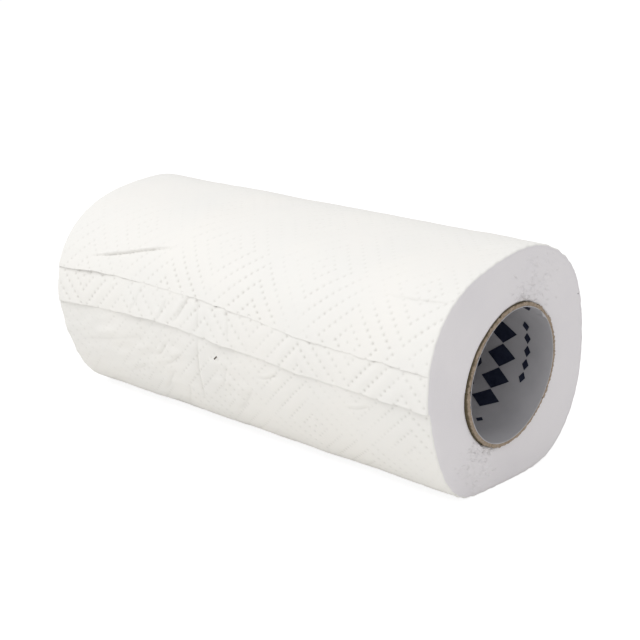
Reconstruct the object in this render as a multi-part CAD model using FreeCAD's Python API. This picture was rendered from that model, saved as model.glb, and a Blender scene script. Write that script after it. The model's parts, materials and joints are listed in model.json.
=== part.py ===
# Embossed two-ply paper towel roll on a wide cardboard core, lying on its side.
# Millimetres. +X runs along the roll to the end where the core stands out, +Z is up,
# and the roll rests on its own soft flat spot. The loose end of the sheet is on the -Y side.
# Angles turn about the roll's axis, from +Y towards +Z.
import FreeCAD, Part
import math
import os

# Roll and core
paper_length = 220.0
winding_build = 23.0
core_outer_r = 29.8
core_wall = 1.8
core_proud = 1.5
core_clearance = 0.05

# How far the soft winding is out of round: swell and direction of 2, 3 and 4 lobes
two_lobe_swell = 0.92
two_lobe_deg = 19.0
three_lobe_swell = 0.94
three_lobe_deg = 38.7
four_lobe_swell = 1.31
four_lobe_deg = 55.4

# Flat spot under the roll: depth pressed in, sharpness of its soft edges, depth of the true flat
floor_press = 6.5
floor_sharpness = 20.0
flat_depth = 0.35

# Sheet and its loose end: where it leaves the roll, where its flap could reach, how far it lifts
ply_thickness = 0.4
leaves_at_deg = 150.0
flap_limit_deg = 192.0
lip_lift = 0.6

# Heights of the two torn edges above the roll's axis, from the -X end to the +X end
inner_ply_edge = (-0.2, 2.9, 0.9, -2.0, -2.8)
outer_ply_edge = (15.4, 18.1, 16.8, 12.6, 11.9)

# Turns that show on the ends: how many stand apart, and the gap between them
turn_count = 6
turn_gap = 0.5
turn_gap_depth = 0.6
turn_end_deg = 120.0

# Longest arc that curves are made of, and what cutting shapes reach past the roll
arc_deg = 15.0
cut_margin = 5.0

# Sizes that follow
sheet_thickness = 2 * ply_thickness
winding_inner_r = core_outer_r + core_clearance
core_inner_r = core_outer_r - core_wall
mean_outer_r = winding_inner_r + winding_build
floor_depth = mean_outer_r - floor_press
paper_start = -(paper_length + core_proud) / 2
core_start = paper_start + core_proud
full_turn_deg = 360.0
straight_down_deg = 270.0


def lobe(swell, count, direction_deg, angle_deg):
    return swell * math.cos(count * math.radians(angle_deg - direction_deg))


def outline_r(angle_deg):
    # Radius of the squashed roll, held up softly by what it lies on
    free_r = mean_outer_r
    free_r += lobe(two_lobe_swell, 2, two_lobe_deg, angle_deg)
    free_r += lobe(three_lobe_swell, 3, three_lobe_deg, angle_deg)
    free_r += lobe(four_lobe_swell, 4, four_lobe_deg, angle_deg)
    down = -math.sin(math.radians(angle_deg))
    if down <= 0:
        return free_r
    pressed = (free_r * down / floor_depth) ** floor_sharpness
    return free_r * (1 + pressed) ** (-1 / floor_sharpness)


def sheet_r(angle_deg):
    # Radius of the outer turn, which gains one sheet in the turn that ends at the loose end
    left_deg = leaves_at_deg + full_turn_deg - angle_deg
    return outline_r(angle_deg) - sheet_thickness * left_deg / full_turn_deg


def axis_height():
    # The roll's axis stands this far above what the roll lies on
    return sheet_r(straight_down_deg) - flat_depth


def flap_inner_r(angle_deg):
    # Under side of the loose end, which stands off more and more towards its edge
    loose_share = (angle_deg - leaves_at_deg) / (flap_limit_deg - leaves_at_deg)
    return sheet_r(angle_deg) + lip_lift * loose_share


def flap_middle_r(angle_deg):
    return flap_inner_r(angle_deg) + ply_thickness


def flap_outer_r(angle_deg):
    return flap_inner_r(angle_deg) + sheet_thickness


def beyond_flap_r(angle_deg):
    return flap_outer_r(angle_deg) + cut_margin


def turn_r(angle_deg, total_deg, offset):
    # Radius inside the winding, round at the core and squashed like the outline further out
    share = angle_deg / total_deg
    return winding_inner_r + (outline_r(angle_deg) - winding_inner_r) * share + offset


def polar_point(radius, angle_deg):
    angle = math.radians(angle_deg)
    return FreeCAD.Vector(0, radius * math.cos(angle), radius * math.sin(angle))


def polar_curve(radius_at, start_deg, end_deg):
    # Row of arcs that follows a radius formula
    count = math.ceil((end_deg - start_deg) / arc_deg)
    step_deg = (end_deg - start_deg) / count

    def point_at(share):
        angle_deg = start_deg + share * step_deg
        return polar_point(radius_at(angle_deg), angle_deg)

    return [
        Part.Arc(point_at(i), point_at(i + 1 / 2), point_at(i + 1)).toShape()
        for i in range(count)
    ]


def prism(edges, start_x, length):
    # Solid along the roll from a closed outline across it
    face = Part.Face(Part.Wire(Part.__sortEdges__(edges)))
    face.translate(FreeCAD.Vector(start_x, 0, 0))
    return face.extrude(FreeCAD.Vector(length, 0, 0))


def band(inner_at, outer_at, start_deg, end_deg, start_x, length):
    # Curved strip between two radius formulas
    inner = polar_curve(inner_at, start_deg, end_deg)
    outer = polar_curve(outer_at, start_deg, end_deg)
    start = Part.makeLine(
        polar_point(inner_at(start_deg), start_deg), polar_point(outer_at(start_deg), start_deg)
    )
    end = Part.makeLine(
        polar_point(inner_at(end_deg), end_deg), polar_point(outer_at(end_deg), end_deg)
    )
    return prism(inner + outer + [start, end], start_x, length)


def wound_body():
    # The outer turn closes on itself with a step where the sheet leaves the roll
    end_deg = leaves_at_deg + full_turn_deg
    turn = polar_curve(sheet_r, leaves_at_deg, end_deg)
    step = Part.makeLine(
        polar_point(sheet_r(end_deg), end_deg), polar_point(sheet_r(leaves_at_deg), leaves_at_deg)
    )
    return prism(turn + [step], paper_start, paper_length)


def below_edge(heights):
    # Everything on the flap's side that lies under a wavy torn edge
    start_x = paper_start - cut_margin
    end_x = paper_start + paper_length + cut_margin
    points = []
    for i, height in enumerate(heights):
        share = i / (len(heights) - 1)
        points.append(FreeCAD.Vector(start_x + (end_x - start_x) * share, 0, height))
    curve = Part.BSplineCurve()
    curve.interpolate(points)
    low = -mean_outer_r
    corner_a = FreeCAD.Vector(start_x, 0, low)
    corner_b = FreeCAD.Vector(end_x, 0, low)
    edges = [
        curve.toShape(),
        Part.makeLine(points[-1], corner_b),
        Part.makeLine(corner_b, corner_a),
        Part.makeLine(corner_a, points[0]),
    ]
    face = Part.Face(Part.Wire(edges))
    return face.extrude(FreeCAD.Vector(0, -mean_outer_r - winding_build, 0))


def loose_end():
    # Two plies that leave the roll together and are torn off at different heights
    flap = band(
        flap_inner_r, flap_outer_r, leaves_at_deg, flap_limit_deg, paper_start, paper_length
    )
    flap = flap.cut(below_edge(inner_ply_edge))
    outer_ply = band(
        flap_middle_r,
        beyond_flap_r,
        leaves_at_deg,
        flap_limit_deg + cut_margin,
        paper_start - cut_margin,
        paper_length + 2 * cut_margin,
    )
    return flap.cut(outer_ply.common(below_edge(outer_ply_edge)))


def turn_groove(start_x):
    # One spiral gap from beside the core to under the last turn
    total_deg = turn_count * full_turn_deg
    start_deg = full_turn_deg / 2
    end_deg = total_deg - full_turn_deg + turn_end_deg

    def near_side(angle_deg):
        return turn_r(angle_deg, total_deg, -turn_gap / 2)

    def far_side(angle_deg):
        return turn_r(angle_deg, total_deg, turn_gap / 2)

    return band(near_side, far_side, start_deg, end_deg, start_x, turn_gap_depth + cut_margin)


def floor_block():
    # What the roll lies on, used to press its flat spot true
    width = 2 * mean_outer_r
    corner = FreeCAD.Vector(paper_start - cut_margin, -width / 2, -axis_height() - winding_build)
    return Part.makeBox(paper_length + 2 * cut_margin, width, winding_build, corner)


def paper_roll():
    roll = wound_body().fuse(loose_end())
    bore = Part.makeCylinder(
        winding_inner_r,
        paper_length + 2 * cut_margin,
        FreeCAD.Vector(paper_start - cut_margin, 0, 0),
        FreeCAD.Vector(1, 0, 0),
    )
    roll = roll.cut(bore).cut(floor_block())
    paper_end = paper_start + paper_length
    roll = roll.cut(turn_groove(paper_start - cut_margin))
    return roll.cut(turn_groove(paper_end - turn_gap_depth))


def cardboard_core():
    start = FreeCAD.Vector(core_start, 0, 0)
    along = FreeCAD.Vector(1, 0, 0)
    outside = Part.makeCylinder(core_outer_r, paper_length, start, along)
    return outside.cut(Part.makeCylinder(core_inner_r, paper_length, start, along))


def main():
    os.makedirs("parts", exist_ok=True)
    paper = paper_roll()
    box = paper.optimalBoundingBox(False, False)
    to_frame = FreeCAD.Vector(0, -(box.YMin + box.YMax) / 2, axis_height())
    for name, shape in (("paper_roll", paper), ("cardboard_core", cardboard_core())):
        shape.translate(to_frame)
        shape.exportStep("parts/" + name + ".step")
        print(name, shape.isValid(), len(shape.Solids), round(shape.Volume))
    print("axis at y", round(to_frame.y, 3), "z", round(to_frame.z, 3))


main()
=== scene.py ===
# An embossed two-ply paper towel roll on a wide cardboard core, lying on its side.
import json
import math

import bpy
import numpy as np
from mathutils import Euler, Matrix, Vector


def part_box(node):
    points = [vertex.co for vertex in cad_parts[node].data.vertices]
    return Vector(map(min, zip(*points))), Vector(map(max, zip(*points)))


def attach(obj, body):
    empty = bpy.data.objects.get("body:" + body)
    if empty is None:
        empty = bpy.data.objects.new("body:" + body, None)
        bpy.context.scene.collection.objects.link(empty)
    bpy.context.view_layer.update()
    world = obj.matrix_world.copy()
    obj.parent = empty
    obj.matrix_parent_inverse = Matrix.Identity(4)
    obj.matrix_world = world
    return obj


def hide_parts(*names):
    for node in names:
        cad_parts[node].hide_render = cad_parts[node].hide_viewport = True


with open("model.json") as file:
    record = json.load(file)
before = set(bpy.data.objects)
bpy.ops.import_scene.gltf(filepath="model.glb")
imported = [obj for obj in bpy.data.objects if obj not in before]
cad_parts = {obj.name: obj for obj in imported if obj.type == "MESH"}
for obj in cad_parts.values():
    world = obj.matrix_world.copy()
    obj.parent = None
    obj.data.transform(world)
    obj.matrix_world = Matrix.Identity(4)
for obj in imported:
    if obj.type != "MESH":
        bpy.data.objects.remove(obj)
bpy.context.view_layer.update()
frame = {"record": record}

# Lengths are in millimetres and angles in degrees, until a mesh is made.
# Angles turn about the roll's axis, from +Y towards +Z.
MM = 0.001
FULL_TURN = 360.0
SEED = 7

# What the frame gives: the roll's axis, its ends and its core
bore = next(m for m in frame["record"]["mounts"] if m["name"] == "core_bore")
AXIS_Y = bore["pos_m"][1] / MM
AXIS_Z = bore["pos_m"][2] / MM
BORE_R = bore["dims"]["r_mm"]
paper_low, paper_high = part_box("paper_roll")
core_low, core_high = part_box("cardboard_core")
PAPER_START = paper_low[0] / MM
PAPER_END = paper_high[0] / MM
PAPER_LENGTH = PAPER_END - PAPER_START
CORE_START = core_low[0] / MM
CORE_END = core_high[0] / MM
CORE_R = (core_high[2] - core_low[2]) / 2 / MM

# Squashed outline, as the part's solid has it: lobes as count, swell and direction,
# then how deep and how sharply the floor presses it, and where the outermost sheet leaves it
MEAN_R = 52.85
LOBES = ((2, 0.92, 19.0), (3, 0.94, 38.7), (4, 1.31, 55.4))
FLOOR_PRESS = 6.5
FLOOR_DEPTH = MEAN_R - FLOOR_PRESS
FLOOR_SHARPNESS = 20.0
SHEET = 0.8
LEAVES = 150.0

# The core is slightly oval and off centre, as on the squashed roll in the photograph
CORE_SHRINK = 0.965
CORE_OVAL = 0.053
CORE_OVAL_DIRECTION = 38.0
CORE_SHIFT = 0.5
CORE_SHIFT_DIRECTION = 143.0
CORE_GAP = 0.12

# Torn edges of the two plies: distance from the -X end, and distance round the roll
# upwards from the point level with its axis on the -Y side
OUTER_EDGE = (
    (0, 15.8), (30, 18.4), (64, 18.7), (96, 17.9), (127, 15.8), (155, 13.0), (187, 12.6),
    (220, 12.0),
)
INNER_EDGE = (
    (0, -0.4), (31, 1.9), (52, 2.9), (78, 3.4), (98, 1.7), (127, 0.0), (155, -1.8),
    (187, -2.3), (220, -2.8),
)

# How high each ply's surface stands over the turn below, and how thick its torn edge looks
OUTER_STEP = 0.62
INNER_STEP = 0.36
EDGE_THICKNESS = 0.26

# How far a covered part of a sheet is drawn in, so that it can't show through,
# and how far behind the edge that covers it this starts and is complete
TUCK = 0.45
TUCK_START = 0.6
TUCK_END = 3.0

# The outer ply comes down to its step over this distance from where it leaves the roll
STEP_REACH = 7.0

# Lift of each torn edge: everywhere, at places given as share of the roll's length, spread
# and height, and at the near end from a share of the length on
INNER_LIFT = 0.22
INNER_LIFTS = ((0.29, 0.075, 0.85), (0.50, 0.03, 0.75), (0.0, 0.06, 0.75))
INNER_LIFT_AT_END = 0.40
INNER_LIFT_FROM = 0.75
OUTER_LIFT = 0.02
OUTER_LIFTS = ((0.09, 0.07, 0.65),)
OUTER_LIFT_AT_END = 0.1
OUTER_LIFT_FROM = 0.9

# How far behind the outer edge its lift reaches
OUTER_LIFT_REACH = 9.0


def outline_r(angle):
    free = MEAN_R + sum(
        swell * np.cos(count * np.radians(angle - direction)) for count, swell, direction in LOBES
    )
    down = np.clip(-np.sin(np.radians(angle)), 0, None)
    return free * (1 + (free * down / FLOOR_DEPTH) ** FLOOR_SHARPNESS) ** (-1 / FLOOR_SHARPNESS)


def sheet_r(angle):
    # Outer turn, which gains one sheet in the turn that ends at the loose end
    return outline_r(angle) - SHEET * (LEAVES + FULL_TURN - angle) / FULL_TURN


def floor_r(angle):
    # Nothing reaches below the surface that the roll lies on
    down = -np.sin(np.radians(angle))
    least = 0.3
    return np.where(down > least, AXIS_Z / np.maximum(down, least), 2 * MEAN_R)


def squashed_r(radius, angle):
    # Distance from the roll's axis to a circle about the core's centre, once squashed
    oval = 1 + CORE_OVAL * np.cos(2 * np.radians(angle - CORE_OVAL_DIRECTION))
    shift = CORE_SHIFT * np.cos(np.radians(angle - CORE_SHIFT_DIRECTION))
    return CORE_SHRINK * oval * radius + shift


# Table that turns distance round the roll into an angle and back. The distance, called s, is
# zero level with the axis on the -Y side, and grows over the top, down the back and under.
ANGLES = np.arange(LEAVES - 10, LEAVES + FULL_TURN + 60, 0.05)
ROUND_Y = outline_r(ANGLES) * np.cos(np.radians(ANGLES))
ROUND_Z = outline_r(ANGLES) * np.sin(np.radians(ANGLES))
ARC = np.concatenate([[0], np.cumsum(np.hypot(np.diff(ROUND_Y), np.diff(ROUND_Z)))])
LEVEL = FULL_TURN / 2
ROUND = np.interp(LEVEL + FULL_TURN, ANGLES, ARC) - ARC
LEAVES_AT = float(np.interp(LEAVES + FULL_TURN, ANGLES, ROUND))
GIRTH = float(np.interp(LEVEL, ANGLES, ROUND))

# Embossing: nested diamonds of dots, 26 steps from one diamond to the next. The dots' depth and
# the height of the pillows between them are in millimetres, and their reach is in steps.
STEPS = 26
HALF_STEPS = STEPS / 2
DOT_ROWS = (0, 3, 7, 11)
DOT_DEPTH = 0.38
DOT_REACH = 0.24
DOT_STRENGTH = 0.8
SHEET_PILLOWS = 0.035
STRIP_PILLOWS = 0.09

# Where the outer turn's dots are pressed out: the share of their strength that is lost, and
# between which values this comes on. The first two go by the sine of the angle above or below
# the axis, the third by the distance along the roll.
FADE_ON_TOP = (0.75, 0.45, 0.95)
FADE_BELOW = (0.7, 0.7, 1.0)
FADE_LEFT = (0.45, 95.0, 20.0)
FADE_LOW_FRONT = 0.25

# Patches of weaker and stronger dots: shift along the roll, share, and the least strength
SHEET_PATCHES = (31.0, 0.4, 0.2)
STRIP_PATCHES = (5.0, 0.25, 0.3)
MOST_STRENGTH = 1.5

# Rows of diamonds round the roll: distance round, and diamonds up to there
SHEET_ROWS = (
    (-11.5, -1.0), (45.0, 0.0), (75.0, 0.531), (GIRTH - 78.0, 4.0), (GIRTH - 26.5, 5.0),
    (GIRTH + 76.5, 7.0),
)
SHEET_CENTRE_X = 153.0
SHEET_CENTRE_DRIFT = 0.8
SHEET_PITCH_X = 53.5
SHEET_PITCH_DRIFT = -0.1
STRIP_ROWS = ((-70.5, -2.0), (43.5, 0.0), (100.5, 1.0))
STRIP_CENTRE_X = 154.0
STRIP_PITCH_X = 54.0

# Heights of the soft unevenness on the outer turn and on the inner ply's strip
SHEET_SWELL = 0.10
LOW_SWELL = 0.08
SHEET_RUMPLE = 0.035
LOW_FOLDS_HEIGHT = 0.12
RIM_WAVES = 0.09
STRIP_SWELL = 0.06
STRIP_RUMPLE = 0.04
CRINKLE_HEIGHT = 0.008

# Where the front of the outer turn is slack: from and to, round the roll before its full
# girth; and its folded lower left part, round and along the roll
LOW_FRONT = (-95.0, -45.0)
LOWER_LEFT_ROUND = (-75.0, -25.0)
LOWER_LEFT_ALONG = (150.0, 90.0)

# Grid lines beside each row of dots, in steps, and those beside the ends of the roll
LINES_IN_STEP = (0.0, 0.2, 0.5, 0.8)
LINES_AT_END = (0.0, 0.12, 0.35, 0.65, 1.05)
LINES_TO_REGULAR = 8

# The turns are rounded over at the ends of the roll: over how much length, and how deep
RIM_ROUND = 1.05
RIM_DROP = 0.6


def angle_at(s):
    return np.interp(-s, -ROUND, ANGLES)


def edge_line(points, x):
    # Line through a few points, smoothed over 20 places of the fine line to each side
    at, level = np.array(points, float).T
    fine = np.linspace(0, PAPER_LENGTH, 441)
    reach = 20
    kernel = np.hanning(2 * reach + 1)
    padded = np.pad(np.interp(fine, at, level), reach, mode="reflect", reflect_type="odd")
    return np.interp(x, fine, np.convolve(padded, kernel / kernel.sum(), "valid"))


class Waves:
    """A smooth random field made of plane waves."""

    def __init__(self, seed, wavelength, spread, direction=None, fan=0.0, count=28):
        rng = np.random.default_rng(SEED + seed)
        length = wavelength * np.exp(rng.normal(0, spread, count))
        angle = rng.uniform(0, FULL_TURN, count)
        if direction is not None:
            angle = rng.normal(direction, fan, count)
        self.along = 2 * np.pi / length * np.cos(np.radians(angle))
        self.across = 2 * np.pi / length * np.sin(np.radians(angle))
        self.phase = rng.uniform(0, 2 * np.pi, count)
        self.scale = math.sqrt(2 / count)

    def __call__(self, x, s):
        out = np.zeros(np.broadcast(x, s).shape)
        for along, across, phase in zip(self.along, self.across, self.phase):
            out += np.sin(along * x + across * s + phase)
        return out * self.scale


# Seed, wavelength in millimetres and its spread, for each kind of unevenness
SWELLS = Waves(0, 46, 0.25)
RUMPLE = Waves(1, 17, 0.3)
LOWER_FOLDS = Waves(2, 10, 0.3, direction=115, fan=22)
CRINKLE = Waves(3, 4.2, 0.35)
EDGE_WANDER = Waves(4, 12, 0.5)
END_WAVES = Waves(6, 24, 0.3)
CORE_FIBRE = Waves(8, 1.6, 0.4, count=40)
CORE_WOBBLE = Waves(9, 9, 0.4)


def smooth(value, low, high):
    t = np.clip((value - low) / (high - low), 0, 1)
    return t * t * (3 - 2 * t)


def bump(value, centre, width):
    return np.exp(-(((value - centre) / width) ** 2))


def emboss(u, v):
    # Dots on the rows of nested diamonds, and the soft pillows between the rows, both in steps
    p = np.abs(np.mod(u + HALF_STEPS, STEPS) - HALF_STEPS)
    q = np.abs(np.mod(v + HALF_STEPS, STEPS) - HALF_STEPS)
    outside = p + q > HALF_STEPS
    p, q = np.where(outside, HALF_STEPS - p, p), np.where(outside, HALF_STEPS - q, q)
    nearest = np.full(p.shape, float(STEPS))
    for row in DOT_ROWS:
        along = np.clip(row + 2 * np.round((p - q - row) / 2), -row, row)
        nearest = np.minimum(nearest, np.hypot(p - (row + along) / 2, q - (row - along) / 2))
    dots = np.exp(-((nearest / DOT_REACH) ** 2))
    pillows = -np.cos(np.pi * (p + q - DOT_ROWS[1]) / 2)
    return dots, pillows


# How dark the painted shade in a fold 1 mm deep is, and how far it sways from a straight line
FOLD_SHADE = 0.45
FOLD_SWAY = 0.5


def crease(x, s, start, end, depth, width, lip):
    # Height and painted shade of a fold that fades out at both ends, with a raised side
    length = math.hypot(end[0] - start[0], end[1] - start[1])
    ux, us = (end[0] - start[0]) / length, (end[1] - start[1]) / length
    along = (x - start[0]) * ux + (s - start[1]) * us
    across = (s - start[1]) * ux - (x - start[0]) * us
    across = across + FOLD_SWAY * np.sin(along / length * 5.0)
    fade = smooth(along, -2, 0.3 * length) * (1 - smooth(along, 0.7 * length, length + 2))
    height = lip * bump(across, 2 * width, 1.6 * width) - depth * np.exp(-np.abs(across) / width)
    shade = FOLD_SHADE * depth * bump(across, 0, 0.28 + 0.3 * width)
    return fade * height, fade * shade


def folds_of(x, s, folds):
    creases = [crease(x, s, *fold) for fold in folds]
    return sum(height for height, _ in creases), sum(shade for _, shade in creases)


# Folds: start and end as distance along and round, then depth, width and height of the raised side
UPPER_FOLDS = (
    ((20, 24.4), (72, 37.5), 1.3, 0.42, 0.55),
    ((188, 39.3), (220, 40.8), 0.6, 0.4, 0.15),
)
UNDER_FOLDS = (
    ((95.5, 2), (88, -34), 1.0, 1.3, 0.45),
    ((8, -18.5), (66, -5.5), 0.35, 2.0, 0.45),
    ((66, -14), (74, -7), 0.55, 0.8, 0.25),
    ((70, -18), (82, -11), 0.5, 0.8, 0.25),
    ((60, -36), (76, -20), 0.5, 1.2, 0.30),
    ((70, -44), (84, -26), 0.45, 1.2, 0.30),
    ((38, -30), (58, -22), 0.4, 1.2, 0.25),
    ((108, -34), (126, -17), 0.55, 2.0, 0.35),
    ((130, -9.6), (142, -6.4), 0.45, 0.6, 0.15),
    ((179, -10.6), (191, -8.0), 0.45, 0.6, 0.15),
    ((104, -22), (112, -9), 0.35, 1.1, 0.20),
)
STRIP_FOLDS = (
    ((80, 5), (91, 20), 0.70, 1.0, 0.30),
    ((95, 3), (95, 19), 0.60, 1.0, 0.25),
    ((114, 4), (113, 18), 0.50, 0.9, 0.20),
    ((70, 4), (76, 14), 0.40, 0.8, 0.20),
    ((52, 5), (60, 17), 0.30, 0.9, 0.20),
)


def sheet_rows(s):
    return np.interp(s, *np.array(SHEET_ROWS).T)


def sheet_steps(x, s):
    # Embossing coordinates of the outer turn, which drift a little from turn to turn
    rows = sheet_rows(s)
    pitch = SHEET_PITCH_X + SHEET_PITCH_DRIFT * rows
    return (x - SHEET_CENTRE_X - SHEET_CENTRE_DRIFT * rows) / pitch * STEPS, rows * STEPS


def kept(value, lost, start, end):
    # What is left where a share is lost from one value to another
    return 1 - lost * smooth(value, start, end)


def patchiness(x, s, shift, share, least):
    # Strength of the dots from place to place, about 1
    uneven = 1 + share * SWELLS(x + shift, s) - 0.2 * RUMPLE(x, s + 50)
    return np.clip(uneven, least, MOST_STRENGTH)


def dot_strength(x, s):
    # Along the top and on the flat spot the dots are pressed out, and elsewhere they vary
    height = np.sin(np.radians(angle_at(s)))
    fade = kept(height, *FADE_ON_TOP) * kept(-height, *FADE_BELOW) * kept(x, *FADE_LEFT)
    return DOT_STRENGTH * fade * patchiness(x, s, *SHEET_PATCHES)


def sheet_relief(x, s):
    # Height and darkness of the outer turn: painted shade in folds; dots partly painted shade,
    # partly pressed fibre
    local = s - GIRTH
    low = smooth(local, *LOW_FRONT)
    lower_left = smooth(local, *LOWER_LEFT_ROUND) * smooth(x, *LOWER_LEFT_ALONG)
    rim = bump(PAPER_LENGTH - x, 0.6, 0.9)
    dots, pillows = emboss(*sheet_steps(x, s))
    strength = dot_strength(x, s) * (1 - FADE_LOW_FRONT * low)
    upper, upper_shade = folds_of(x, s, UPPER_FOLDS)
    under, under_shade = folds_of(x, local, UNDER_FOLDS)
    out = strength * (SHEET_PILLOWS * pillows - DOT_DEPTH * dots) + upper + under
    out += (SHEET_SWELL + LOW_SWELL * low) * SWELLS(x, s)
    out += SHEET_RUMPLE * RUMPLE(x, s) + CRINKLE_HEIGHT * CRINKLE(x, s)
    out += LOW_FOLDS_HEIGHT * lower_left * LOWER_FOLDS(x, local)
    out += RIM_WAVES * rim * CRINKLE(0 * x, 0.7 * s)
    return out, strength * dots + upper_shade + under_shade


def strip_steps(x, s):
    rows = np.interp(s, *np.array(STRIP_ROWS).T)
    return (x - STRIP_CENTRE_X) / STRIP_PITCH_X * STEPS, rows * STEPS


def strip_relief(x, s):
    # Height and darkness of the inner ply: painted shade in folds; dots partly painted shade,
    # partly pressed fibre
    dots, pillows = emboss(*strip_steps(x, s))
    strength = DOT_STRENGTH * patchiness(x, s, *STRIP_PATCHES)
    folds, shade = folds_of(x, s, STRIP_FOLDS)
    out = strength * (STRIP_PILLOWS * pillows - DOT_DEPTH * dots) + folds
    out += STRIP_SWELL * SWELLS(x, s + 9) + STRIP_RUMPLE * RUMPLE(x, s + 31)
    out += CRINKLE_HEIGHT * CRINKLE(x, s)
    return out, strength * dots + shade


def lifts_of(share, lifts):
    return sum(height * bump(share, at, spread) for at, spread, height in lifts)


def inner_lift(x):
    # How far the inner ply's edge stands off, along the roll
    share = x / PAPER_LENGTH
    out = INNER_LIFT + lifts_of(share, INNER_LIFTS)
    return out + INNER_LIFT_AT_END * smooth(share, INNER_LIFT_FROM, 1.0)


def outer_lift(x):
    # How far the outer ply's edge stands off the inner one
    share = x / PAPER_LENGTH
    out = OUTER_LIFT + lifts_of(share, OUTER_LIFTS)
    return out + OUTER_LIFT_AT_END * smooth(share, OUTER_LIFT_FROM, 1.0)


def stand_off(x, s):
    # Gap under the loose end: nothing where it leaves the roll, most at the inner ply's edge
    share = np.clip((LEAVES_AT - s) / (LEAVES_AT - edge_line(INNER_EDGE, x)), 0, 1.3)
    return (0.15 * share + 0.85 * share**4) * inner_lift(x)


def rim_drop(x):
    to_end = np.minimum(x, PAPER_LENGTH - x)
    t = np.clip(1 - to_end / RIM_ROUND, 0, 1)
    return RIM_DROP * (1 - np.sqrt(1 - t * t))


def place(x, angle, r):
    # Points of a surface, from distance along the roll, angle and radius
    r = np.minimum(r - rim_drop(x), floor_r(angle))
    rad = np.radians(angle)
    return np.stack([PAPER_START + x, AXIS_Y + r * np.cos(rad), AXIS_Z + r * np.sin(rad)], axis=-1)


def tuck(s, covering_edge):
    return TUCK * smooth(s, covering_edge + TUCK_START, covering_edge + TUCK_END)


def sheet_surface(x, s, drop=0.0):
    # Outer side of the outer turn; below where it leaves the roll it is the loose outer ply
    angle = angle_at(s)
    loose = angle > LEAVES + FULL_TURN
    step = OUTER_STEP + (SHEET - OUTER_STEP) * smooth(s, LEAVES_AT - STEP_REACH, LEAVES_AT)
    edge = edge_line(OUTER_EDGE, x)
    lip = outer_lift(x) * (1 - smooth(s, edge, edge + OUTER_LIFT_REACH))
    lifted = sheet_r(angle - FULL_TURN) + (step + stand_off(x, s) + lip)
    base = np.where(loose, lifted, sheet_r(angle))
    base = base - tuck(s, GIRTH + edge_line(INNER_EDGE, x))
    relief, shade = sheet_relief(x, s)
    return place(x, angle, base + relief - drop), shade


def strip_surface(x, s, drop=0.0):
    # Outer side of the loose inner ply
    angle = angle_at(s)
    base = sheet_r(angle - FULL_TURN) + INNER_STEP + stand_off(x, s)
    base = base - tuck(s, edge_line(OUTER_EDGE, x))
    relief, shade = strip_relief(x, s)
    return place(x, angle, base + relief - drop), shade


def lattice_lines(low, high):
    # Grid lines in steps, closest beside the dots
    whole = np.arange(math.floor(low), math.ceil(high) + 1)
    lines = (whole[:, None] + np.array(LINES_IN_STEP)).ravel()
    return lines[(lines >= low) & (lines <= high)]


def row_distances(centre, pitch):
    # Distances along the roll, row by row: they follow the dots, and are closer at the ends
    at_end = np.array(LINES_AT_END)
    margin = at_end[-1] + 0.4
    low = ((margin - centre) / pitch * STEPS).max()
    high = ((PAPER_LENGTH - margin - centre) / pitch * STEPS).min()
    middle = centre[:, None] + pitch[:, None] / STEPS * lattice_lines(low, high)
    share = np.arange(1, LINES_TO_REGULAR + 1) / (LINES_TO_REGULAR + 1)
    before = at_end[-1] + (middle[:, :1] - at_end[-1]) * share
    stop = PAPER_LENGTH - at_end[-1]
    after = middle[:, -1:] + (stop - middle[:, -1:]) * share
    ends = np.ones((len(centre), 1)) * at_end
    return np.concatenate([ends, before, middle, after, PAPER_LENGTH - ends[:, ::-1]], axis=1)


def grid_faces(rows, count, offset=0):
    i, j = np.meshgrid(np.arange(rows - 1), np.arange(count - 1), indexing="ij")
    a = offset + i * count + j
    return np.stack([a, a + 1, a + count + 1, a + count], axis=-1).reshape(-1, 4)


def grid_normals(points):
    n = np.cross(np.gradient(points, axis=1), np.gradient(points, axis=0))
    return n / np.maximum(np.linalg.norm(n, axis=-1, keepdims=True), 1e-9)


def make_mesh(name, points, faces, material, normals=None, shade=None):
    # shade is a number for each point that tells the material how dark it is there; it carries
    # painted shade, the dots' pressed fibre and the board's stains
    mesh = bpy.data.meshes.new(name)
    points = np.asarray(points, float).reshape(-1, 3) * MM
    faces = np.asarray(faces, np.int32)
    mesh.vertices.add(len(points))
    mesh.vertices.foreach_set("co", points.astype(np.float32).ravel())
    mesh.loops.add(faces.size)
    mesh.loops.foreach_set("vertex_index", faces.ravel())
    mesh.polygons.add(len(faces))
    sides = faces.shape[1]
    mesh.polygons.foreach_set("loop_start", np.arange(0, faces.size, sides, dtype=np.int32))
    mesh.update(calc_edges=True)
    mesh.polygons.foreach_set("use_smooth", np.ones(len(faces), bool))
    if shade is not None:
        attribute = mesh.attributes.new("shade", "FLOAT", "POINT")
        attribute.data.foreach_set("value", np.asarray(shade, np.float32).ravel())
    if normals is not None:
        mesh.normals_split_custom_set_from_vertices(np.asarray(normals, np.float32).reshape(-1, 3))
    mesh.materials.append(material)
    obj = bpy.data.objects.new(name, mesh)
    bpy.context.scene.collection.objects.link(obj)
    return obj


def new_material(name, color, roughness):
    material = bpy.data.materials.new(name)
    material.use_nodes = True
    shader = material.node_tree.nodes["Principled BSDF"]
    shader.inputs["Base Color"].default_value = (*color, 1)
    shader.inputs["Roughness"].default_value = roughness
    shader.inputs["Specular IOR Level"].default_value = 0.2
    return material, material.node_tree, shader


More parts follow.
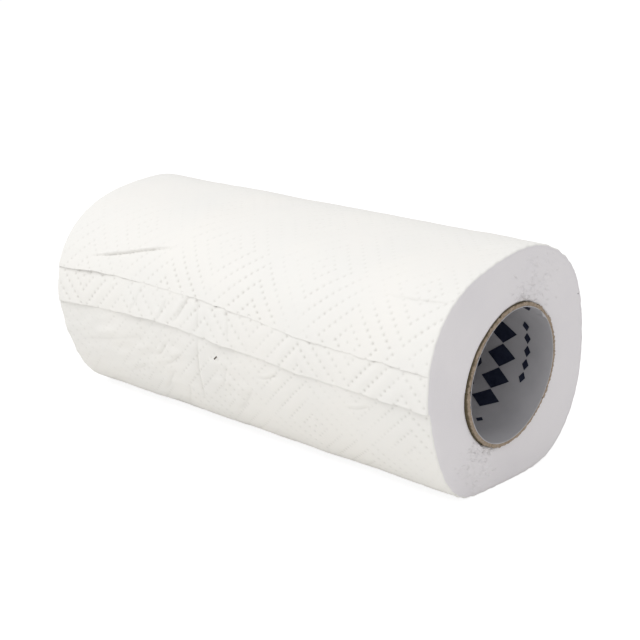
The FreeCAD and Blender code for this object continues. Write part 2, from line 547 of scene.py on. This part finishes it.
def noise(tree, scale, detail, roughness=0.55, stretch=(1, 1, 1)):
    coords = tree.nodes.new("ShaderNodeTexCoord")
    mapping = tree.nodes.new("ShaderNodeMapping")
    mapping.inputs["Scale"].default_value = stretch
    texture = tree.nodes.new("ShaderNodeTexNoise")
    texture.inputs["Scale"].default_value = scale
    texture.inputs["Detail"].default_value = detail
    texture.inputs["Roughness"].default_value = roughness
    tree.links.new(coords.outputs["Object"], mapping.inputs["Vector"])
    tree.links.new(mapping.outputs["Vector"], texture.inputs["Vector"])
    return texture.outputs["Fac"]


def color_ramp(tree, fac, low, high, start=0.35, end=0.65):
    ramp = tree.nodes.new("ShaderNodeValToRGB")
    ramp.color_ramp.elements[0].position = start
    ramp.color_ramp.elements[0].color = (*low, 1)
    ramp.color_ramp.elements[1].position = end
    ramp.color_ramp.elements[1].color = (*high, 1)
    tree.links.new(fac, ramp.inputs["Fac"])
    return ramp.outputs["Color"]


def tint_by_shade(tree, base, color, strength):
    # Mixes a darker colour in as the points' shade tells
    attribute = tree.nodes.new("ShaderNodeAttribute")
    attribute.attribute_name = "shade"
    amount = tree.nodes.new("ShaderNodeMath")
    amount.operation = "MULTIPLY"
    amount.use_clamp = True
    amount.inputs[1].default_value = strength
    tree.links.new(attribute.outputs["Fac"], amount.inputs[0])
    mix = tree.nodes.new("ShaderNodeMixRGB")
    mix.inputs["Color2"].default_value = (*color, 1)
    tree.links.new(amount.outputs["Value"], mix.inputs["Fac"])
    tree.links.new(base, mix.inputs["Color1"])
    return mix.outputs["Color"]


def add_bump(tree, shader, fac, distance, strength):
    node = tree.nodes.new("ShaderNodeBump")
    node.inputs["Distance"].default_value = distance
    node.inputs["Strength"].default_value = strength
    tree.links.new(fac, node.inputs["Height"])
    tree.links.new(node.outputs["Normal"], shader.inputs["Normal"])


def tinted_material(name, color, roughness, patches, low, high, shadow=None, grain=None):
    # Two tints in noisy patches, a darker colour where the points' shade tells, and a fine
    # grain as noise, depth and strength of its bump
    material, tree, shader = new_material(name, color, roughness)
    tint = color_ramp(tree, noise(tree, *patches), low, high)
    if shadow:
        tint = tint_by_shade(tree, tint, *shadow)
    tree.links.new(tint, shader.inputs["Base Color"])
    if grain:
        grain_noise, depth, strength = grain
        add_bump(tree, shader, noise(tree, *grain_noise), depth, strength)
    return material


# Its darker colour is painted shade in folds, and in dots partly painted shade and partly pressed
# fibre
PAPER = tinted_material(
    "paper", (0.87, 0.85, 0.81), 0.95, (22, 3), (0.862, 0.847, 0.812), (0.882, 0.860, 0.818),
    shadow=((0.64, 0.62, 0.58), 0.7), grain=((1500, 3, 0.6, (1, 1.6, 1.6)), 0.00010, 0.35),
)
# Greyer than the sheet: partly the cut layers' own look, partly painted shade; darker in sunk
# crumples as painted shade
CUT_EDGES = tinted_material(
    "cut_edges", (0.80, 0.768, 0.775), 0.95, (30, 3), (0.788, 0.757, 0.768), (0.815, 0.783, 0.788),
    shadow=((0.50, 0.49, 0.45), 0.45), grain=((900, 4, 0.65), 0.00012, 0.4),
)
# Its darker colour shows stains and patches, and painted shade on the tube's outside beside the
# paper
BOARD = tinted_material(
    "board", (0.34, 0.275, 0.225), 0.9, (700, 4, 0.7), (0.28, 0.215, 0.155), (0.42, 0.338, 0.262),
    shadow=((0.115, 0.095, 0.055), 0.9), grain=((700, 4, 0.7), 0.00015, 0.6),
)
LINER = tinted_material(
    "liner", (0.455, 0.445, 0.46), 0.75, (60, 4), (0.425, 0.416, 0.430), (0.49, 0.48, 0.493),
    grain=((800, 3, 0.6, (1, 0.4, 0.4)), 0.00008, 0.4),
)
INK = tinted_material(
    "ink", (0.012, 0.016, 0.035), 0.6, (500, 4, 0.7), (0.010, 0.013, 0.030), (0.022, 0.027, 0.050),
)
DIRT = tinted_material(
    "dirt", (0.09, 0.08, 0.065), 0.9, (900, 3), (0.06, 0.05, 0.04), (0.14, 0.12, 0.10),
)


def ply_layout(
    row_table, first, last, margin, edge_points, wander, wander_at, centre_at, pitch_at
):
    # Distance along and round for each point of a ply: a few rows from its torn edge
    # to the first row of dots, and from there rows that follow the dots
    at, count = np.array(row_table).T
    low, high = np.interp([first, last], at, count) * STEPS
    rows = lattice_lines(low, high) / STEPS
    s_regular = np.interp(rows, count, at)
    rows = np.concatenate([np.full(margin, rows[0]), rows])
    x = row_distances(centre_at(rows), pitch_at(rows))
    edge = edge_line(edge_points, x[0]) + wander * EDGE_WANDER(x[0], wander_at)
    share = np.linspace(0, 1, margin, endpoint=False)[:, None]
    s_margin = edge + (s_regular[0] - edge) * share
    return x, np.concatenate([s_margin, s_regular[:, None] + 0 * x[:1]])


def sheet_layout():
    return ply_layout(
        SHEET_ROWS, first=20.5, last=GIRTH + 12, margin=22,
        edge_points=OUTER_EDGE, wander=0.12, wander_at=0.0,
        centre_at=lambda rows: SHEET_CENTRE_X + SHEET_CENTRE_DRIFT * rows,
        pitch_at=lambda rows: SHEET_PITCH_X + SHEET_PITCH_DRIFT * rows,
    )


def strip_layout():
    return ply_layout(
        STRIP_ROWS, first=4.6, last=24.0, margin=20,
        edge_points=INNER_EDGE, wander=0.15, wander_at=40.0,
        centre_at=lambda rows: STRIP_CENTRE_X + 0 * rows,
        pitch_at=lambda rows: STRIP_PITCH_X + 0 * rows,
    )


def with_under_side(surface, x, s, width, rows):
    # Adds the torn edge's thickness and a band of the under side before the first row
    back = np.linspace(width, 0, rows)[:, None]
    under, _ = surface(np.repeat(x[:1], rows, axis=0), s[:1] + back, EDGE_THICKNESS)
    top, shade = surface(x, s)
    return np.concatenate([under, top]), np.concatenate([np.zeros(under.shape[:2]), shade])


# Under side behind each torn edge: how wide, and in how many rows of points
SHEET_UNDER_WIDTH = 9.0
SHEET_UNDER_ROWS = 12
STRIP_UNDER_WIDTH = 16.0
STRIP_UNDER_ROWS = 16
SHEET_BANDS = 4


def build_sheet(x, s):
    # The outer turn in bands that meet along a row of points
    points, shade = with_under_side(sheet_surface, x, s, SHEET_UNDER_WIDTH, SHEET_UNDER_ROWS)
    normals = grid_normals(points)
    cuts = np.linspace(0, len(points) - 1, SHEET_BANDS + 1).round().astype(int)
    made = []
    for k in range(SHEET_BANDS):
        rows = slice(cuts[k], cuts[k + 1] + 1)
        faces = grid_faces(*points[rows].shape[:2])
        name = f"outer_sheet_{k + 1}"
        made.append(make_mesh(name, points[rows], faces, PAPER, normals[rows], shade[rows]))
    return made, points[SHEET_UNDER_ROWS:]


def build_strip(x, s):
    # The strip of the inner ply that the outer one leaves bare
    points, shade = with_under_side(strip_surface, x, s, STRIP_UNDER_WIDTH, STRIP_UNDER_ROWS)
    faces = grid_faces(*points.shape[:2])
    piece = make_mesh("inner_ply", points, faces, PAPER, grid_normals(points), shade)
    return piece, points[STRIP_UNDER_ROWS:]


# Crumpled patches on the end that faces the camera: angle, spread, radius from and to, number
CRUMPLES = (
    (66, 22, 30.5, 52, 120), (78, 12, 30.5, 38, 45), (239, 17, 30.5, 50, 110), (228, 9, 33, 47, 40),
)

# Their short folds: least and most height, share that stands up, height lost on the way out,
# how they crowd at the core, mean and spread of the direction, least and most half length,
# and half the width of a fold and of the dark line in it
FOLD_HEIGHTS = (0.25, 0.65)
FOLDS_STANDING = 0.6
FOLD_LOSS = 0.6
FOLD_CROWDING = 1.6
FOLD_DIRECTION = (-12.0, 16.0)
FOLD_HALF_LENGTHS = (0.5, 1.3)
FOLD_WIDTH = 0.24
# The dark line is painted shade along each sunk fold
DARK_WIDTH = 0.30


def crumple_marks():
    # Short folds as place, direction, half length, height
    rng = np.random.default_rng(SEED + 20)
    marks = []
    for angle, spread, near, far, number in CRUMPLES:
        for _ in range(number):
            a = math.radians(rng.normal(angle, spread / 2))
            out = rng.uniform() ** FOLD_CROWDING
            r = near + (far - near) * out
            height = rng.uniform(*FOLD_HEIGHTS) * (1 if rng.uniform() < FOLDS_STANDING else -1)
            height *= 1 - FOLD_LOSS * out
            direction, half = rng.normal(*FOLD_DIRECTION), rng.uniform(*FOLD_HALF_LENGTHS)
            marks.append((r * math.cos(a), r * math.sin(a), direction, half, height))
    return marks


def crumple(y, z):
    # Height of the short folds, and the painted shade along the sunk ones
    out = np.zeros(y.shape)
    dark = np.zeros(y.shape)
    for my, mz, direction, half, height in crumple_marks():
        c, d = math.cos(math.radians(direction)), math.sin(math.radians(direction))
        along = (y - my) * c + (z - mz) * d
        across = (z - mz) * c - (y - my) * d
        out += height * np.exp(-((along / half) ** 2) - (across / FOLD_WIDTH) ** 2)
        dark += max(-height, 0) * np.exp(-((along / half) ** 2) - (across / DARK_WIDTH) ** 2)
    return out, np.clip(dark, 0, 1)


# Rows of points across an end, as shares of the way from the core to the outline. The first
# rows line the hole round the core, this deep. Near the outline the cut edges lean outwards.
RIM_SHARE = 0.93
RIM_ROWS = (0.94, 0.952, 0.964, 0.975, 0.984, 0.992, 1.0)
RING_SHARES = np.array([0.0, 0.0, *np.linspace(0, RIM_SHARE, 55), *RIM_ROWS])
RING_DEPTHS = (4.0, 1.2)
RIM_LEAN = 24.0

# Unevenness of an end: waves, the turns' faint ridges, and the groove beside the core
END_WAVE_HEIGHT = 0.10
RIDGE_HEIGHT = 0.012
RIDGE_PITCH = 1.7
CORE_GROOVE = 0.45
CORE_GROOVE_WIDTH = 0.8

# The winding swells out beside the core at the near end: how far, at which angle and how wide
SWELL_AT_CORE = 0.8
SWELL_ANGLE = 128.0
SWELL_SPREAD = 42.0
SWELL_REACH = 7.0


def ring_grid(border, outward, crumpled):
    # Points between the core and a row of border points
    y, z = border[:, 1] - AXIS_Y, border[:, 2] - AXIS_Z
    angle = np.degrees(np.arctan2(z, y))
    outer = np.hypot(y, z)
    inner = squashed_r(CORE_R, angle) + CORE_GAP
    r = inner[:, None] + (outer - inner)[:, None] * RING_SHARES
    yy = r * np.cos(np.radians(angle))[:, None]
    zz = r * np.sin(np.radians(angle))[:, None]
    beside_core = r - inner[:, None]
    ridges = np.sin(2 * np.pi * (beside_core + 0.4 * END_WAVES(zz, yy)) / RIDGE_PITCH)
    out = END_WAVE_HEIGHT * END_WAVES(yy, zz) + RIDGE_HEIGHT * ridges
    out -= CORE_GROOVE * (1 - smooth(beside_core, 0, CORE_GROOVE_WIDTH))
    dark = np.zeros(out.shape)
    if crumpled:
        # dark is painted shade along the sunk crumple folds
        height, dark = crumple(yy, zz)
        swell = SWELL_AT_CORE * bump(angle, SWELL_ANGLE, SWELL_SPREAD)[:, None]
        out += height + swell * np.exp(-beside_core / SWELL_REACH)
    out[:, :len(RING_DEPTHS)] -= RING_DEPTHS
    x = border[:, :1] + outward * out * (1 - smooth(RING_SHARES, 0.92, 1.0))
    return np.stack([x, AXIS_Y + yy, AXIS_Z + zz], axis=-1), dark


def leaning_normals(grid, outward):
    # Normals that turn away from the roll's axis near the outline, as on a soft edge
    n = outward * -grid_normals(grid)
    radial = grid - np.array([0, AXIS_Y, AXIS_Z])
    radial[..., 0] = 0
    radial /= np.linalg.norm(radial, axis=-1, keepdims=True)
    lean = np.radians(RIM_LEAN) * smooth(RING_SHARES, RIM_SHARE, 1.0)[:, None]
    return n * np.cos(lean) + radial * np.sin(lean)


def joined_border(sheet_points, sheet_s, strip_points, strip_s, column):
    # Outline of an end: the outer turn down to the inner ply's edge, then that ply
    # up to the outer one's edge
    x = np.array([0.0 if column == 0 else PAPER_LENGTH])
    stop = GIRTH + strip_s[0, column]
    keep = sheet_s[:, column] < stop
    last, _ = sheet_surface(x, np.array([stop]))
    turn = np.concatenate([sheet_points[keep, column], last])
    top = sheet_s[0, column]
    keep = strip_s[:, column] < top
    last, _ = strip_surface(x, np.array([top]))
    return turn, np.concatenate([strip_points[keep, column], last])


def build_end(name, borders, outward, crumpled):
    points, faces, shades, normals = [], [], [], []
    offset = 0
    for border in borders:
        grid, dark = ring_grid(border, outward, crumpled)
        quads = grid_faces(*grid.shape[:2], offset)
        points.append(grid.reshape(-1, 3))
        faces.append(quads[:, ::-1] if outward > 0 else quads)
        shades.append(dark.ravel())
        normals.append(leaning_normals(grid, outward).reshape(-1, 3))
        offset += grid.shape[0] * grid.shape[1]
    points, faces, normals = np.concatenate(points), np.concatenate(faces), np.concatenate(normals)
    return make_mesh(name, points, faces, CUT_EDGES, normals, np.concatenate(shades))


# Tube wall, from outside to inside: how far in from the end, and share of the wall's thickness
WALL_SECTION = (
    (12.0, 0.0), (5.0, 0.0), (2.2, 0.0), (1.4, 0.0), (0.9, 0.0), (0.5, 0.0), (0.15, 0.03),
    (0.02, 0.15), (0.0, 0.35), (0.0, 0.55), (0.02, 0.70), (0.06, 0.80),
)

# Its fuzz: over what length it fades, how far its middle lies back from the end, and the
# heights of fibres and of wider wobbles, endwise and sideways
FUZZ_REACH = 1.2
FUZZ_SINK = 0.15
FIBRE_ENDWISE = 0.10
WOBBLE_ENDWISE = 0.08
FIBRE_SIDEWAYS = 0.17
WOBBLE_SIDEWAYS = 0.16

# How dark the patches on the wall get, next to its darker outside, which is partly stain and partly
# painted shade
PATCH_SHADE = 0.35


def circle(x, radius, angles):
    rad = np.radians(angles)
    return np.stack(
        [x + 0 * angles, AXIS_Y + radius * np.cos(rad), AXIS_Z + radius * np.sin(rad)], axis=-1
    )


def wall_rows(at_x, outward, angles):
    # Rows of points over one end of the tube, and how dark they are from stains, patches and
    # painted shade on the outside
    rows, stain_and_shade = [], []
    for depth, share in WALL_SECTION:
        fuzz = np.exp(-depth / FUZZ_REACH)
        outside = float(share < 0.1)
        r = CORE_R - (CORE_R - BORE_R) * share
        y, z = r * np.cos(np.radians(angles)), r * np.sin(np.radians(angles))
        endwise = FIBRE_ENDWISE * CORE_FIBRE(y, z) + WOBBLE_ENDWISE * CORE_WOBBLE(y, z)
        sideways = FIBRE_SIDEWAYS * CORE_FIBRE(z, y + 5) + WOBBLE_SIDEWAYS * CORE_WOBBLE(z, y)
        x = at_x + outward * (fuzz * endwise - FUZZ_SINK - depth)
        rows.append(circle(x, squashed_r(r, angles) + fuzz * outside * sideways, angles))
        dark_patches = PATCH_SHADE * smooth(CORE_FIBRE(y * 0.7, z * 0.7), 0.8, 2.0)
        # The outside darkens away from the cut end: partly stain, partly painted shade beside the
        # paper
        stain_and_shade.append(outside * smooth(depth, 0.1, 0.6) + dark_patches)
    return np.stack(rows), np.stack(stain_and_shade)


def build_core():
    # Tube wall with fuzzy cut ends
    angles = np.linspace(0, FULL_TURN, 721)
    near, near_stain_and_shade = wall_rows(CORE_END, 1, angles)
    far, far_stain_and_shade = wall_rows(CORE_START, -1, angles)
    points = np.concatenate([near[::-1], far])
    stain_and_shade = np.concatenate([near_stain_and_shade[::-1], far_stain_and_shade])
    faces = grid_faces(*points.shape[:2])[:, ::-1]
    return make_mesh("core_board", points, faces, BOARD, None, stain_and_shade)


# Liner: its cut edge at each end, as distance in from the end and width beside the bore, and
# how far the skin wobbles
LINER_EDGE = ((0.14, 0.36), (0.06, 0.15))
LINER_WOBBLE = 0.02

# Seam that winds through the bore: its lead, where it starts, its step and how soon that levels
SEAM_LEAD = 96.0
SEAM_ANGLE = 118.0
SEAM_STEP = 0.12
SEAM_REACH = 2.5

# Lifted bit of the liner at the near end: height, angle, spread and length
CURL_HEIGHT = 0.9
CURL_ANGLE = 47.0
CURL_SPREAD = 3.0
CURL_LENGTH = 2.5


def build_liner():
    # Pale paper inside the tube, wound at a slant, with its cut edge showing at both ends
    angles = np.linspace(0, FULL_TURN, 481)
    length = CORE_END - CORE_START
    close = np.array([0.10, 0.3, 0.7, 1.2, 1.8, 2.6, 3.6])
    inside = np.concatenate([close, np.linspace(5, length - 5, 90), length - close[::-1]])
    a, x = np.meshgrid(angles, CORE_START + inside)
    seam = np.mod((x - CORE_START) / SEAM_LEAD * FULL_TURN + a + SEAM_ANGLE, FULL_TURN)
    step = SEAM_STEP * np.exp(-seam / SEAM_REACH)
    curl = CURL_HEIGHT * bump(a, CURL_ANGLE, CURL_SPREAD) * np.exp(-(CORE_END - x) / CURL_LENGTH)
    wobble = LINER_WOBBLE * CORE_WOBBLE(x * 0.4, BORE_R * np.cos(np.radians(a)))
    skin = circle(x, squashed_r(BORE_R - step - curl - wobble, a), a)

    def rim(at_x, extra):
        return circle(at_x, squashed_r(BORE_R + extra, angles), angles)[None]

    far_rims = [rim(CORE_START + back, extra) for back, extra in LINER_EDGE]
    near_rims = [rim(CORE_END - back, extra) for back, extra in reversed(LINER_EDGE)]
    points = np.concatenate([*far_rims, skin, *near_rims])
    faces = grid_faces(*points.shape[:2])[:, ::-1]
    return make_mesh("core_liner", points, faces, LINER)


# Plain print on the liner, as depth from the end, angle, half length along and half width round.
# It stands where the tube in the photograph is printed.
PRINT_REPEAT = 74.0
PRINT_MARKS = (
    (24.5, 309.0, 7.0, 5.2), (24.5, 331.0, 7.0, 5.2), (24.5, 353.0, 7.0, 5.2),
    (24.5, 15.0, 7.0, 5.2), (12.3, 338.0, 1.6, 2.6), (12.3, 350.0, 1.6, 2.6),
    (12.3, 2.0, 1.6, 2.6), (12.3, 14.0, 1.6, 2.6), (12.3, 26.0, 1.6, 2.6),
    (20.0, 283.0, 1.8, 1.7), (6.5, 58.0, 3.0, 4.2), (34.5, 320.0, 1.2, 2.4),
    (34.5, 342.0, 1.2, 2.4), (34.5, 4.0, 1.2, 2.4),
)
PRINT_LIFT = 0.2
PRINT_MARGIN = 2.0


def build_print():
    # Solid diamonds, laid a hair inside the liner, on both sides of the bore
    points, faces = [], []
    cells = 12
    t = np.linspace(-1, 1, cells + 1)
    u, v = np.meshgrid(t, t, indexing="ij")
    offset = 0
    for k in range(int((CORE_END - CORE_START) // PRINT_REPEAT) + 1):
        for turn in (0, FULL_TURN / 2):
            for depth, angle, half_length, half_width in PRINT_MARKS:
                x0 = CORE_END - depth - (k + turn / FULL_TURN) * PRINT_REPEAT
                if x0 - half_length < CORE_START + PRINT_MARGIN:
                    continue
                a = angle + turn + np.degrees((u - v) / 2 * half_width / BORE_R)
                r = squashed_r(BORE_R - PRINT_LIFT, a)
                grid = circle(x0 + (u + v) / 2 * half_length, r, a)
                points.append(grid.reshape(-1, 3))
                faces.append(grid_faces(cells + 1, cells + 1, offset))
                offset += (cells + 1) ** 2
    return make_mesh("liner_print", np.concatenate(points), np.concatenate(faces), INK)


# Specks of dirt beside the near end's outline and in the mouth of the core:
# distance beyond the end of the paper, angle, radius and half width
SPECKS = ((0.14, 27.5, 51.7, 0.42), (1.62, 324.5, float(squashed_r(28.1, 324.5)), 0.38))

SPECK_THICKNESS = 0.15

# Slanting fleck on the lower turn: its place along and round the roll, its half length and
# half width as steps along and round, and its thickness at the rim and in the middle
FLECK_PLACE = (105.0, GIRTH - 6.2)
FLECK_HALF_LENGTH = (0.9, 0.8)
FLECK_HALF_WIDTH = (0.22, -0.25)
FLECK_THICKNESS = (0.05, 0.10)


def build_dirt():
    # A dark fleck on the lower turn and two specks on the end, as in the photograph
    cells = 8
    t = np.linspace(-1, 1, cells + 1)
    u, v = np.meshgrid(t, t, indexing="ij")
    x, s = (
        at + long * u + wide * v
        for at, long, wide in zip(FLECK_PLACE, FLECK_HALF_LENGTH, FLECK_HALF_WIDTH)
    )
    at_rim, in_middle = FLECK_THICKNESS
    fleck, _ = sheet_surface(x, s, -at_rim - in_middle * (1 - u * u))
    grids = [fleck]
    for beyond, angle, radius, half in SPECKS:
        round_u, round_v = u * np.sqrt(1 - v * v / 2), v * np.sqrt(1 - u * u / 2)
        r = radius + half * round_u
        a = angle + np.degrees(half * 0.7 / radius) * round_v
        thick = SPECK_THICKNESS * (1 - round_u**2 - round_v**2)
        grids.append(circle(PAPER_END + beyond + thick, r, a)[:, ::-1])
    faces = [
        grid_faces(cells + 1, cells + 1, k * (cells + 1) ** 2) for k in range(len(grids))
    ]
    points = np.concatenate([grid.reshape(-1, 3) for grid in grids])
    return make_mesh("dirt", points, np.concatenate(faces), DIRT)


def background_rays(tree):
    # Rays that see the background itself: from the camera, or by reflection or refraction
    path = tree.nodes.new("ShaderNodeLightPath")
    first = tree.nodes.new("ShaderNodeMath")
    first.operation = "MAXIMUM"
    tree.links.new(path.outputs["Is Camera Ray"], first.inputs[0])
    tree.links.new(path.outputs["Is Glossy Ray"], first.inputs[1])
    second = tree.nodes.new("ShaderNodeMath")
    second.operation = "MAXIMUM"
    tree.links.new(first.outputs["Value"], second.inputs[0])
    tree.links.new(path.outputs["Is Transmission Ray"], second.inputs[1])
    return second.outputs["Value"]


# Floor: half its size in metres, its colour where it lights the roll, and its grey and glow
# where the camera sees it, which add up to white
FLOOR_SIZE = 6.0
FLOOR_COLOR = (0.92, 0.915, 0.90, 1)
FLOOR_SEEN = (0.28, 0.28, 0.28, 1)
FLOOR_GLOW = 0.86


def build_floor():
    # Pale floor that shows white to the camera and keeps the roll's faint shadow
    mesh = bpy.data.meshes.new("floor")
    corners = [(x * FLOOR_SIZE, y * FLOOR_SIZE, 0) for x, y in ((-1, -1), (1, -1), (1, 1), (-1, 1))]
    mesh.from_pydata(corners, [], [(0, 1, 2, 3)])
    obj = bpy.data.objects.new("floor", mesh)
    bpy.context.scene.collection.objects.link(obj)
    material = bpy.data.materials.new("floor")
    material.use_nodes = True
    tree = material.node_tree
    tree.nodes.clear()
    out = tree.nodes.new("ShaderNodeOutputMaterial")
    plain = tree.nodes.new("ShaderNodeBsdfDiffuse")
    plain.inputs["Color"].default_value = FLOOR_COLOR
    seen = tree.nodes.new("ShaderNodeBsdfDiffuse")
    seen.inputs["Color"].default_value = FLOOR_SEEN
    glow = tree.nodes.new("ShaderNodeEmission")
    glow.inputs["Strength"].default_value = FLOOR_GLOW
    add = tree.nodes.new("ShaderNodeAddShader")
    tree.links.new(seen.outputs["BSDF"], add.inputs[0])
    tree.links.new(glow.outputs["Emission"], add.inputs[1])
    mix = tree.nodes.new("ShaderNodeMixShader")
    tree.links.new(background_rays(tree), mix.inputs["Fac"])
    tree.links.new(plain.outputs["BSDF"], mix.inputs[1])
    tree.links.new(add.outputs["Shader"], mix.inputs[2])
    tree.links.new(mix.outputs["Shader"], out.inputs["Surface"])
    mesh.materials.append(material)


# Studio light: the world's level and colour, and each lamp's azimuth, elevation, distance,
# size and power, with distance and size in metres and power in watts
WORLD_LEVEL = 0.665
WORLD_COLOR = (0.97, 0.98, 1.0, 1)
LAMPS = {
    "key": (-24, 62, 1.6, 1.0, 9.3),
    "front": (10, 18, 1.8, 1.6, 3.5),
    "fill": (97, 42, 1.8, 1.6, 1.3),
}


def build_world():
    # Even light on the roll, and a white background
    world = bpy.data.worlds.new("studio")
    world.use_nodes = True
    bpy.context.scene.world = world
    tree = world.node_tree
    tree.nodes.clear()
    out = tree.nodes.new("ShaderNodeOutputWorld")
    light = tree.nodes.new("ShaderNodeBackground")
    light.inputs["Color"].default_value = WORLD_COLOR
    light.inputs["Strength"].default_value = WORLD_LEVEL
    white = tree.nodes.new("ShaderNodeBackground")
    white.inputs["Color"].default_value = (1, 1, 1, 1)
    white.inputs["Strength"].default_value = 1.0
    mix = tree.nodes.new("ShaderNodeMixShader")
    tree.links.new(background_rays(tree), mix.inputs["Fac"])
    tree.links.new(light.outputs["Background"], mix.inputs[1])
    tree.links.new(white.outputs["Background"], mix.inputs[2])
    tree.links.new(mix.outputs["Shader"], out.inputs["Surface"])


def add_lamp(name, azimuth, elevation, distance, size, power):
    # Square lamp that looks at the roll; azimuth as for the camera
    data = bpy.data.lights.new(name, "AREA")
    data.size = size
    data.energy = power
    obj = bpy.data.objects.new(name, data)
    a, e = math.radians(azimuth), math.radians(elevation)
    obj.location = (
        distance * math.sin(a) * math.cos(e),
        -distance * math.cos(a) * math.cos(e),
        distance * math.sin(e) + AXIS_Z * MM,
    )
    obj.rotation_euler = Euler((math.pi / 2 - e, 0, a))
    bpy.context.scene.collection.objects.link(obj)


# Camera as found from the photograph: where it stands from the near end of the paper,
# which way it looks, and its focal length in pixels of the 640 pixel frame
CAMERA_FROM_END = (299.5, -437.6, 178.4)
CAMERA_AZIMUTH = 42.55
CAMERA_ELEVATION = 16.54
FOCAL_PIXELS = 1405.0
FRAME_PIXELS = 640
SENSOR = 36.0


def add_camera():
    data = bpy.data.cameras.new("camera")
    data.sensor_width = SENSOR
    data.lens = FOCAL_PIXELS / FRAME_PIXELS * SENSOR
    data.clip_start = 0.01
    data.clip_end = 50
    obj = bpy.data.objects.new("camera", data)
    obj.location = (
        (PAPER_END + CAMERA_FROM_END[0]) * MM,
        (AXIS_Y + CAMERA_FROM_END[1]) * MM,
        (AXIS_Z + CAMERA_FROM_END[2]) * MM,
    )
    tilt, turn = math.radians(90 - CAMERA_ELEVATION), math.radians(CAMERA_AZIMUTH)
    obj.rotation_euler = Euler((tilt, 0, turn))
    bpy.context.scene.collection.objects.link(obj)
    bpy.context.scene.camera = obj


def build_paper():
    # The wound sheet's pieces; the ends fit the outlines of the two plies
    sheet_x, sheet_s = sheet_layout()
    strip_x, strip_s = strip_layout()
    made, sheet_points = build_sheet(sheet_x, sheet_s)
    strip, strip_points = build_strip(strip_x, strip_s)
    made.append(strip)
    for name, column, outward in (("near_end", -1, 1), ("far_end", 0, -1)):
        borders = joined_border(sheet_points, sheet_s, strip_points, strip_s, column)
        made.append(build_end(name, borders, outward, outward > 0))
    made.append(build_dirt())
    return made


def main():
    bpy.context.scene.view_settings.view_transform = "Standard"
    for piece in build_paper():
        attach(piece, "root")
        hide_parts("paper_roll")
    for piece in (build_core(), build_liner(), build_print()):
        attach(piece, "root")
        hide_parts("cardboard_core")
    build_floor()
    build_world()
    for name, lamp in LAMPS.items():
        add_lamp(name, *lamp)
    add_camera()


main()
